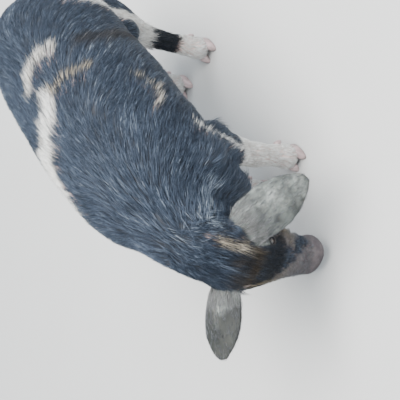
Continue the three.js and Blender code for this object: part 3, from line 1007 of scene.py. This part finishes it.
# The way that the coat lies: back along the trunk, down the legs, out along the ears, forward over the
# brow, and ruffled between the ears.
lies = {
    "trunk": (-1, 0, -0.34),
    "neck": (-0.9, 0.05, -0.1),
    "head": (-0.35, 0, -0.9),
    "snout": (0, 0, 1),
    "tail": (-0.1, 0.05, -1),
    "wattle_left": (0, 0, -1),
    "wattle_right": (0, 0, -1),
    **{name: (-0.22, 0, -1) for name in legs},
}
browLie = (0.25, 0, -1.1)
ruffle = {
    "path": [(196, 12, 192), (200, -15, 198), (196, -38, 190)],
    "spread": 12,
    "amount": 1.1,
    "swirl": 0.3,
}


def ruffleAt(points):
    return nearPath(points, ruffle["path"], ruffle["spread"])


def lieOf(points, normals, part, outs):
    weight = np.exp(-7 * np.clip(outs, 0.85, None))
    way = sum(weight[i][:, None] * np.array(lies[name], float) for i, name in enumerate(bodyForms))
    flank = (0.25 + 1.1 * (1 - smooth(points[:, 0], 20, 110))) * weight[0]
    way[:, 2] -= flank * (1 - smooth(points[:, 2], 262, 284))
    for name, place in earPlaces.items():
        way[isPart(part, f"ear_{name}")] = earAxes(place)[2]
    way = unit(way)
    forelock = smooth(points[:, 0] + 18 * normals[:, 0], 192, 226) * (points[:, 2] > 110)
    forward = (forelock > rng.random(len(points))) & (part < len(bodyForms))
    way[forward] = unit(np.array([browLie]))
    swirl = np.stack([noiseAt(points, 34, k) for k in (11, 12, 13)], axis=1)
    mixed = ruffleAt(points)[:, None] * rng.normal(0, 0.5, (len(points), 3))
    return unit(unit(way) + ruffle["swirl"] * swirl + ruffle["amount"] * mixed)


def faceData(mesh):
    mesh.calc_loop_triangles()
    index = np.empty(len(mesh.loop_triangles) * 3, np.int32)
    mesh.loop_triangles.foreach_get("vertices", index)
    return index.reshape(-1, 3)


corner = faceData(skinMesh)
tree = BVHTree.FromPolygons([Vector(p) for p in skinPoints], corner.tolist(), all_triangles=True)
triangle = skinPoints[corner]
cross = np.cross(triangle[:, 1] - triangle[:, 0], triangle[:, 2] - triangle[:, 0])
area = np.linalg.norm(cross, axis=1) / 2
faceNormal = unit(cross)
facePart = skinPart[corner[:, 0]]


# Roots are spread evenly over the skin, closer together between the ears and at the roots of the ears.
def scatter():
    spacing = np.array([coatOf(name)["spacing"] for name in partNames])[facePart]
    onEar = isPart(facePart, "ear_left", "ear_right")
    earRoot = onEar * (1 - smooth(skinShare[corner[:, 0]], 0.15, 0.55))
    wanted = area / spacing**2 * (1 + 0.6 * ruffleAt(triangle[:, 0]) + 2.5 * earRoot)
    total = int(wanted.sum())
    marks = (np.arange(total) + rng.random(total)) / total * wanted.sum()
    face = np.searchsorted(np.cumsum(wanted), marks).clip(0, len(area) - 1)
    u, v = rng.random(total), rng.random(total)
    flip = u + v > 1
    u[flip], v[flip] = 1 - u[flip], 1 - v[flip]
    a, b, c = (triangle[face, k] for k in range(3))
    return face, a + (b - a) * u[:, None] + (c - a) * v[:, None]


rootFace, roots = scatter()
rootNormal = faceNormal[rootFace]
rootPart, rootShare, rootOuts = partsOf(roots)
rootLie = lieOf(roots, rootNormal, rootPart, rootOuts)
print("coat roots:", len(roots))


# One step along the skin: from points, by lengths, and back down on the surface if it is near.
def stepAlong(points, normals, way, lengths):
    way = unit(way - normals * (way * normals).sum(1, keepdims=True))
    aim = points + way * lengths[:, None]
    landed, facing = np.empty_like(aim), np.empty_like(aim)
    for i, p in enumerate(aim):
        place, normal, _, gap = tree.find_nearest(p)
        landed[i] = place if gap < 3.5 else p
        facing[i] = normal if gap < 3.5 else normals[i]
    return landed, facing, way


def perRoot(key):
    return np.array([coatOf(name)[key] for name in partNames])[rootPart]


lengths = perRoot("length") * rng.uniform(0.8, 1.25, len(roots))
lifts = perRoot("lift") * rng.uniform(0.7, 1.2, len(roots))
widths = perRoot("width")
x, y, z = roots.T
onHead = isPart(rootPart, "head")
onLeg = isPart(rootPart, *legs)
onEar = isPart(rootPart, "ear_left", "ear_right")
lengths *= np.where(onHead, 0.45 + 1.0 * smooth(z, 70, 135), 1)
lengths *= np.where(onLeg, 0.75 + 0.4 * smooth(z, 30, 130) + 0.45 * (1 - smooth(z, 26, 40)), 1)

# Where the coat differs, by how much longer it is and how much higher it stands.
spine = bump(y, 0, 14) * (z > 250)
hock = distanceToPath(roots, [(-156, 38, 118), (-128, 38, 118)]) < 20
poll = nearPath(roots, [(222, -34, 170), (226, -12, 176), (220, 6, 172)], 12) * (x > 196)
nearEar = (inEar(roots) > -0.12) & ~onEar
earRoot = onEar * (1 - smooth(rootShare, 0.1, 0.5))
rootMuzzle = muzzleAmount(roots, rootPart)
jowl = nearPath(roots, [(208, 24, 88), (204, 19, 62)], 9)
changes = [
    (spine, 0.35, 0),
    (hock, 0.7, 1.2),
    (poll, 0.9, 0.6),
    (nearEar, -0.5, 0),
    (earRoot, 0.9, 1.4),
    (rootMuzzle, -0.45, 0),
    (jowl, 1.2, 1.6),
]
for where, longer, higher in changes:
    lengths *= 1 + longer * where
    lifts *= 1 + higher * where
clearOfFloor = np.maximum(z - 1, 1.5)
lengths = np.where(onLeg, np.minimum(lengths, clearOfFloor), lengths)

# The middle line of each tuft at its root, half way and tip.
stations, stationNormals, stationWays = [roots], [rootNormal], []
way = rootLie
for step in range(2):
    landed, facing, way = stepAlong(stations[-1], stationNormals[-1], way, lengths / 2)
    stations.append(landed)
    stationNormals.append(facing)
    stationWays.append(way)
stationWays.append(way)
stations, stationNormals = np.array(stations), np.array(stationNormals)
stationWays = np.array(stationWays)
stationSides = unit(np.cross(stationNormals, stationWays))
print("coat lies along the skin")

rootPale, rootBrown = markings(roots, rootPart)
rootPale = np.where(onEar, 0.08 + 0.16 * earRoot, rootPale)
rootBrown = np.where(onEar, 0.35, rootBrown)
# Streaks are noise that is averaged along each hair, so that they run with the lie.
span = [stations[0] + (stations[1] - stations[0]) * share for share in (0, 0.4, 0.8)]
span += [stations[1] + (stations[2] - stations[1]) * share for share in (0.2, 0.6, 1)]
noises = [noiseSum(points, (1, 2.4, 20), (0.5, 6, 21)) for points in span]
streaks = np.clip(0.67 + 0.62 * np.mean(noises, axis=0), 0, 1)
# The left shank is the deepest black. The brow is black as well and is darkened further as painted shade,
# and the neck has a lighter lock behind the left ear.
shank = onLeg * within(z, (44, 52), (98, 106)) * (y > 0) * (x < 0)
brow = onHead * within(z, (84, 94), (124, 134)) * smooth(x, 205, 220)
lightHair = nearPath(roots, [(197, 23, 186), (183, 31, 182), (167, 38, 176)], 8)
rootTone = (0.06 + 0.5 * streaks + 0.3 * lightHair) * (1 - 0.95 * np.maximum(shank, brow))


# Places the roots on the bake map: around each part, then along it.
def unwrap():
    u = np.zeros(len(roots))
    last = len(trunk.samples) - 1
    for name, form in bodyForms.items():
        chosen = np.flatnonzero(isPart(rootPart, name))
        axes = [form.axes(t) for t in np.linspace(0, 1, last + 1)]
        near = np.rint(rootShare[chosen] * last).astype(int)
        off = roots[chosen] - form.samples[near, :3]
        across = np.array([axes[k][1] for k in near]).reshape(-1, 3)
        up = np.array([axes[k][2] for k in near]).reshape(-1, 3)
        u[chosen] = np.arctan2((off * up).sum(1), (off * across).sum(1)) / (2 * math.pi) + 0.5
    for name, place in earPlaces.items():
        chosen = isPart(rootPart, f"ear_{name}")
        root, _, _, out, across = earAxes(place)
        flat = ((roots[chosen] - root) @ across) / earSize["width"] * 0.45 + 0.25
        u[chosen] = flat + 0.5 * ((rootNormal[chosen] @ out) > 0)
    return np.stack([0.01 + 0.98 * u, 0.01 + 0.98 * np.clip(rootShare, 0, 1)], axis=1)


rootUv = unwrap()
patchSize = 0.003


# The points of all hairs of one coat piece. at is the root of each hair.
def hairPoints(at):
    n = len(at)
    spread = 0.55 * perRoot("spacing")[at]
    offset = rng.uniform(-1, 1, n) * spread
    ahead = rng.uniform(-1, 1, n) * spread
    gather = rng.uniform(0, 0.5, n)
    rise = rng.uniform(0.6, 1.15, n)
    reach = rng.uniform(0.6, 1.08, n)
    fan = rng.normal(0, 0.1, n) * lengths[at]
    wide = widths[at] * (1 - 0.4 * rootMuzzle[at])
    points = np.empty((n, hairSize["points"], 3))
    for r, (share, lift, width) in enumerate(hairSize["rings"]):
        side, up, forward = stationSides[r, at], stationNormals[r, at], stationWays[r, at]
        middle = stations[r, at] + side * (offset * (1 - gather * share) + fan * share)[:, None]
        middle = middle + forward * ahead[:, None] + up * (lifts[at] * lift * rise)[:, None]
        for k, angle in enumerate(hairSize["angles"]):
            turn = side * math.cos(angle) + up * math.sin(angle) * hairSize["flat"]
            points[:, r * 3 + k] = middle + turn * (wide * width)[:, None]
    side, up, forward = stationSides[2, at], stationNormals[2, at], stationWays[2, at]
    tip = stations[1, at] + (stations[2, at] - stations[1, at]) * reach[:, None]
    tip = tip + side * (offset * (1 - gather) + fan)[:, None] + forward * ahead[:, None]
    points[:, 6] = tip + up * (lifts[at] * hairSize["tipLift"] * rise)[:, None]
    return points


# The point that each face corner uses, and the number of corners of each face.
def hairFaces(n):
    quads = [(k, (k + 1) % 3, 3 + (k + 1) % 3, 3 + k) for k in range(3)]
    tips = [(3 + k, 3 + (k + 1) % 3, 6) for k in range(3)] + [(2, 1, 0)]
    pattern = np.array([i for face in quads + tips for i in face])
    sizes = np.array([len(face) for face in quads + tips])
    return (np.arange(n)[:, None] * hairSize["points"] + pattern).ravel(), np.tile(sizes, n)


def hairMesh(name, points):
    loops, sizes = hairFaces(len(points))
    flat = points.reshape(-1, 3)
    mesh = bpy.data.meshes.new(name)
    mesh.vertices.add(len(flat))
    mesh.vertices.foreach_set("co", toScene(flat).astype(np.float32).ravel())
    mesh.loops.add(len(loops))
    mesh.loops.foreach_set("vertex_index", loops.astype(np.int32))
    mesh.polygons.add(len(sizes))
    mesh.polygons.foreach_set("loop_start", (np.cumsum(sizes) - sizes).astype(np.int32))
    mesh.polygons.foreach_set("use_smooth", np.ones(len(sizes), bool))
    mesh.update(calc_edges=True)
    return mesh, loops


def hairColours(at):
    n = len(at)
    tone = np.clip(rootTone[at] * rng.uniform(0.6, 1.4, n) + 0.3 * rng.random(n) ** 3, 0, 1)
    tone = np.where(rng.random(n) < 0.08, 0.3 + 1.3 * rootTone[at], tone).clip(0, 1)
    tone *= 1 - 0.5 * rootMuzzle[at]
    mixed = smooth(rootPale[at] + rng.uniform(-0.3, 0.3, n), 0.38, 0.62)
    pale = np.where(rootMuzzle[at] + onEar[at] > 0.5, rootPale[at], mixed)
    onBody = isPart(rootPart[at], "trunk", "neck", "head", "snout", "tail")
    edge = bump(rootPale[at], 0.5, 0.18) * 0.6 * onBody
    values = np.empty((n, hairSize["points"], 4))
    values[:, :, 0] = pale[:, None]
    values[:, :, 1] = np.clip(rootBrown[at] + edge * pale, 0, 1)[:, None]
    values[:, :, 2] = tone[:, None]
    values[:, :, 3] = hairSize["shares"]
    return values


# Each hair has a small patch of the map at its root's place, beside those of its tuft.
def hairUv(at, loops):
    count = hairSize["each"]
    across = np.array([0.2, 0.5, 0.8, 0.2, 0.5, 0.8, 0.2])
    hair = (np.arange(len(at)) % count)[:, None] / count
    u = rootUv[at, 0][:, None] + patchSize * (hair + across / count - 0.5)
    v = rootUv[at, 1][:, None] + patchSize * (np.array(hairSize["shares"]) - 0.5)
    return np.stack([u, v], axis=2).reshape(-1, 2)[loops]


def growCoat(name, chosen):
    at = np.repeat(chosen, hairSize["each"])
    mesh, loops = hairMesh(name, hairPoints(at))
    addColour(mesh, "coatMarks", hairColours(at))
    uv = hairUv(at, loops)
    mesh.uv_layers.new(name="OFBake").data.foreach_set("uv", uv.astype(np.float32).ravel())
    return addPiece(name, mesh, coat)


# The coat of the trunk is cut along x in five, so that no piece is too heavy.
trunkCuts = {
    "coat_rump": (-999, -120),
    "coat_loin": (-120, -50),
    "coat_barrel": (-50, 25),
    "coat_withers": (25, 95),
    "coat_shoulder": (95, 999),
}
coatParts = {
    "coat_neck": ["neck"],
    "coat_head": ["head", "snout"],
    "coat_tail": ["tail"],
    "coat_ears": ["ear_left", "ear_right"],
    "coat_wattles": ["wattle_left", "wattle_right"],
    **{f"coat_{name}": [name] for name in legs},
}


def coatPieces():
    x = roots[:, 0]
    onTrunk = isPart(rootPart, "trunk")
    pieces = {name: onTrunk & (x >= low) & (x < high) for name, (low, high) in trunkCuts.items()}
    pieces.update({name: isPart(rootPart, *parts) for name, parts in coatParts.items()})
    return pieces


for name, chosen in coatPieces().items():
    pieceCoat = growCoat(name, np.flatnonzero(chosen))
    pieceCoat.data.calc_loop_triangles()
    print(name, "has", len(pieceCoat.data.loop_triangles), "triangles")

# Eyes sit deep, each with two lids that close over it and leave a slit.
eyeSize = {"radius": 7.5, "share": 0.47, "angle": 0.42, "sunk": 0.8}
lidSize = {"thick": 1.5, "segments": 40, "slit": (5.4, 3.3), "front": 2}
lashSize = {"count": 14, "length": 6, "radius": 0.22, "tip": 0.04, "row": (5.6, 3.5), "sunk": 0.3}
lidRadius = eyeSize["radius"] + lidSize["thick"]


def eyeAxes(side):
    angle = eyeSize["angle"] if side > 0 else math.pi - eyeSize["angle"]
    deep = head.at(eyeSize["share"], angle, eyeSize["sunk"] - eyeSize["radius"])
    out = unit(head.at(eyeSize["share"], angle, 8) - deep)
    return Vector(deep), Vector(out)


def eyeTurn(out):
    up = (Vector((0.2, 0, 1)) - out * out.z).normalized()
    across = up.cross(out).normalized()
    return Matrix((across, out.cross(across), out)).transposed().to_4x4()


def eyeball(name, place):
    bm = bmesh.new()
    bmesh.ops.create_uvsphere(bm, u_segments=32, v_segments=20, radius=eyeSize["radius"], matrix=place)
    eye = addPiece(f"eyeball_{name}", sceneMesh("eye", bm), gloss)
    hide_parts(f"eye_{name}")


def eyelids(name, place):
    wide, high = lidSize["slit"]
    bm = bmesh.new()
    bmesh.ops.create_uvsphere(bm, u_segments=lidSize["segments"], v_segments=32, radius=lidRadius)
    slit = [
        vert
        for vert in bm.verts
        if vert.co.z > 0 and (vert.co.x / wide) ** 2 + (vert.co.y / high) ** 2 < 1
    ]
    bmesh.ops.delete(bm, geom=slit, context="VERTS")
    back = [vert for vert in bm.verts if vert.co.z < lidSize["front"]]
    bmesh.ops.delete(bm, geom=back, context="VERTS")
    bmesh.ops.solidify(bm, geom=list(bm.faces), thickness=lidSize["thick"])
    bmesh.ops.transform(bm, matrix=place, verts=bm.verts)
    lids = sceneMesh("lids", bm)
    addColour(lids, "markings", np.tile([0, 0.6, 0, 0], (len(lids.vertices), 1)))
    addPiece(f"lids_{name}", lids, hide)


def eyelashes(name, place):
    wide, high = lashSize["row"]
    bm = bmesh.new()
    for k in range(lashSize["count"]):
        angle = math.pi * (0.1 + 0.8 * k / (lashSize["count"] - 1))
        x, y = wide * math.cos(angle), high * math.sin(angle)
        root = Vector((x, y, math.sqrt(lidRadius**2 - x * x - y * y) - lashSize["sunk"]))
        turn = Vector((0.4 * x / wide, 0.7, 1)).to_track_quat("Z", "Y").to_matrix().to_4x4()
        stand = Matrix.Translation(root) @ turn @ Matrix.Translation((0, 0, lashSize["length"] / 2))
        bmesh.ops.create_cone(
            bm,
            cap_ends=True,
            segments=5,
            radius1=lashSize["radius"],
            radius2=lashSize["tip"],
            depth=lashSize["length"],
            matrix=place @ stand,
        )
    fringe = flatMesh("lashes", bm)
    addColour(fringe, "coatMarks", np.tile([0, 0, 0.1, 0.5], (len(fringe.vertices), 1)))
    addPiece(f"lashes_{name}", fringe, coat)


for name, side in sides.items():
    deep, out = eyeAxes(side)
    place = Matrix.Translation(deep) @ eyeTurn(out)
    eyeball(name, place)
    eyelids(name, place)
    eyelashes(name, place)
print("eyes made")

# Claws. Each foot has two main claws, and two dewclaws behind and above them.
clawSize = {
    "around": 16,
    "length": 23,
    "heel": 0.35,
    "width": 14,
    "height": 18,
    "spread": 8,
    "dewLength": 12,
    "dewRadius": 4.2,
    "dewHeight": 25,
    "dewSpread": 8,
}


# Each row is a share of the length, then shares of the width and height.
clawRows = [
    (0, 0.8, 0.8),
    (0.2, 0.97, 0.96),
    (0.45, 0.98, 0.9),
    (0.7, 0.86, 0.68),
    (0.88, 0.62, 0.45),
    (1, 0.24, 0.18),
]
dewclawRows = [(0, 1), (0.3, 1.02), (0.6, 0.86), (0.85, 0.52), (1, 0.2)]


def clawPiece(name, x, y, outward):
    def place(step, k):
        share, wide, high = clawRows[step]
        angle = (k + 0.5) / clawSize["around"] * 2 * math.pi
        c, s = (math.copysign(abs(v) ** 0.75, v) for v in (math.cos(angle), math.sin(angle)))
        middle = high * clawSize["height"] / 2
        half = wide * (1 - 0.14 * (s + 1)) * clawSize["width"] / 2
        return (
            x + (share - clawSize["heel"]) * clawSize["length"],
            y + outward * (clawSize["spread"] + share * 1.5) + c * half,
            max(0, middle + s * middle - 0.6),
        )

    bm = extrudeRings(clawSize["around"], len(clawRows) - 1, place)
    return addPiece(name, sceneMesh(name, bm), horn)


def dewclawPiece(name, x, y, outward):
    length, radius = clawSize["dewLength"], clawSize["dewRadius"]
    root = Vector((x - 10, y + outward * clawSize["dewSpread"], clawSize["dewHeight"] + 4))
    tip = root + Vector((-length * 0.55, outward * 2, -length * 0.83))
    reach = [(*root.lerp(tip, share), *[radius * wide] * 3) for share, wide in dewclawRows]
    return addPiece(name, sceneMesh(name, loft(Form(reach, fullness=2), 14, 12)), horn)


for name, (x, y, side) in feet.items():
    for where, outward in (("inner", -side), ("outer", side)):
        claw = clawPiece(f"toe_{name}_{where}", x, y, outward)
        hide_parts(f"{name}_{where}_claw")
        dew = dewclawPiece(f"dewtoe_{name}_{where}", x, y, outward)
        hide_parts(f"{name}_{where}_dewclaw")
print("claws made")

# Floor and light
stage = {"size": 12, "colour": (0.36, 0.355, 0.345), "world": (0.76, 0.88, 1.0), "worldStrength": 1.45}
lamps = [
    {"place": (0.25, 0.6, 2.6), "aim": (0, 0, 0.1), "size": 2.2, "power": 350, "colour": (1, 0.99, 0.97)},
    {"place": (-1.8, 1.6, 1.6), "aim": (0, 0, 0.15), "size": 1.6, "power": 75, "colour": (0.88, 0.94, 1)},
    {"place": (1.8, -1.4, 1.4), "aim": (0, 0, 0.15), "size": 1.6, "power": 24, "colour": (1, 0.97, 0.93)},
    {"place": (0.7, 1.6, 0.6), "aim": (0, 0, 0.15), "size": 1.2, "power": 30, "colour": (0.9, 0.95, 1)},
]


def addFloor():
    bm = bmesh.new()
    bmesh.ops.create_grid(bm, x_segments=1, y_segments=1, size=stage["size"] / 2)
    floor = addItem("floor", newMesh("floor", bm))
    n = Nodes("floor")
    colour = n.mix(n.noise(6, 5), stage["colour"], tuple(0.94 * v for v in stage["colour"]))
    n.set(Roughness=0.85)
    floor.data.materials.append(n.finish(colour))


def addLight():
    world = bpy.data.worlds.new("studio")
    world.use_nodes = True
    sky = world.node_tree.nodes["Background"]
    sky.inputs["Color"].default_value = (*stage["world"], 1)
    sky.inputs["Strength"].default_value = stage["worldStrength"]
    bpy.context.scene.world = world
    for i, lamp in enumerate(lamps):
        data = bpy.data.lights.new(f"lamp{i}", "AREA")
        data.size = lamp["size"]
        data.energy = lamp["power"]
        data.color = lamp["colour"]
        item = addItem(f"lamp{i}", data)
        aim = Vector(lamp["aim"]) - Vector(lamp["place"])
        turn = aim.to_track_quat("-Z", "Y").to_matrix().to_4x4()
        item.matrix_world = Matrix.Translation(lamp["place"]) @ turn


addFloor()
addLight()
print("floor and light set")
